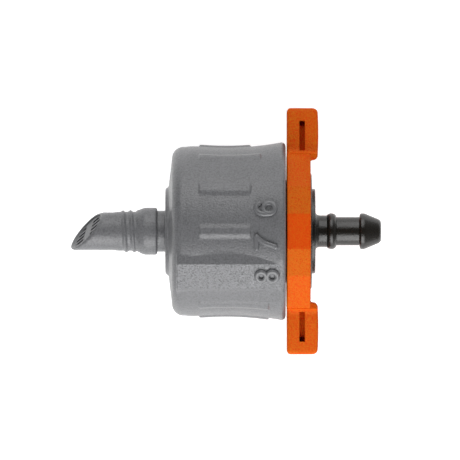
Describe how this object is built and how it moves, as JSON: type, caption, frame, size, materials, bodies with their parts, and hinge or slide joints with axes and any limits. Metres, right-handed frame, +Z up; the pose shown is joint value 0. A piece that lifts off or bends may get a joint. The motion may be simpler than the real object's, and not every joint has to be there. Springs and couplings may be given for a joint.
{
  "type": "drip emitter",
  "caption": "Adjustable drip emitter: a ribbed grip cap with flow numbers and a slant-tipped screw-in inlet spigot, and a winged ring with a barbed outlet that turns to set the flow.",
  "frame": {"origin": "on the flow axis, where the spigot's screw length meets its collar", "axes": "X along the flow, inlet at -X and outlet at +X; Y toward one wing of the ring; Z up, the side that faces the camera in the picture"},
  "size_m": [0.0517, 0.041, 0.0296],
  "materials": {
    "grey_plastic": "satin moulded plastic, fine grain",
    "orange_plastic": "satin moulded plastic, grained grip facets",
    "black_plastic": "semi-gloss moulded plastic",
    "ivory_plastic": "plain moulded plastic",
    "silicone": "soft translucent silicone",
    "seal_rubber": "moulded rubber"
  },
  "bodies": {
    "housing": {"grip_cap": "grey_plastic", "inlet_spigot": "grey_plastic", "tip_strainer": "grey_plastic", "spigot_seal": "seal_rubber", "port_disc": "ivory_plastic", "diaphragm": "silicone"},
    "adjuster": {"outlet_base": "black_plastic", "winged_ring": "orange_plastic", "labyrinth_disc": "ivory_plastic", "hub_seal": "seal_rubber"}
  },
  "joints": [
    {"name": "flow_dial", "type": "hinge", "parent": "housing", "child": "adjuster", "pos_m": [0.0265, 0, 0], "axis": [-1, 0, 0], "range_deg": [-30, 202.5]}
  ]
}
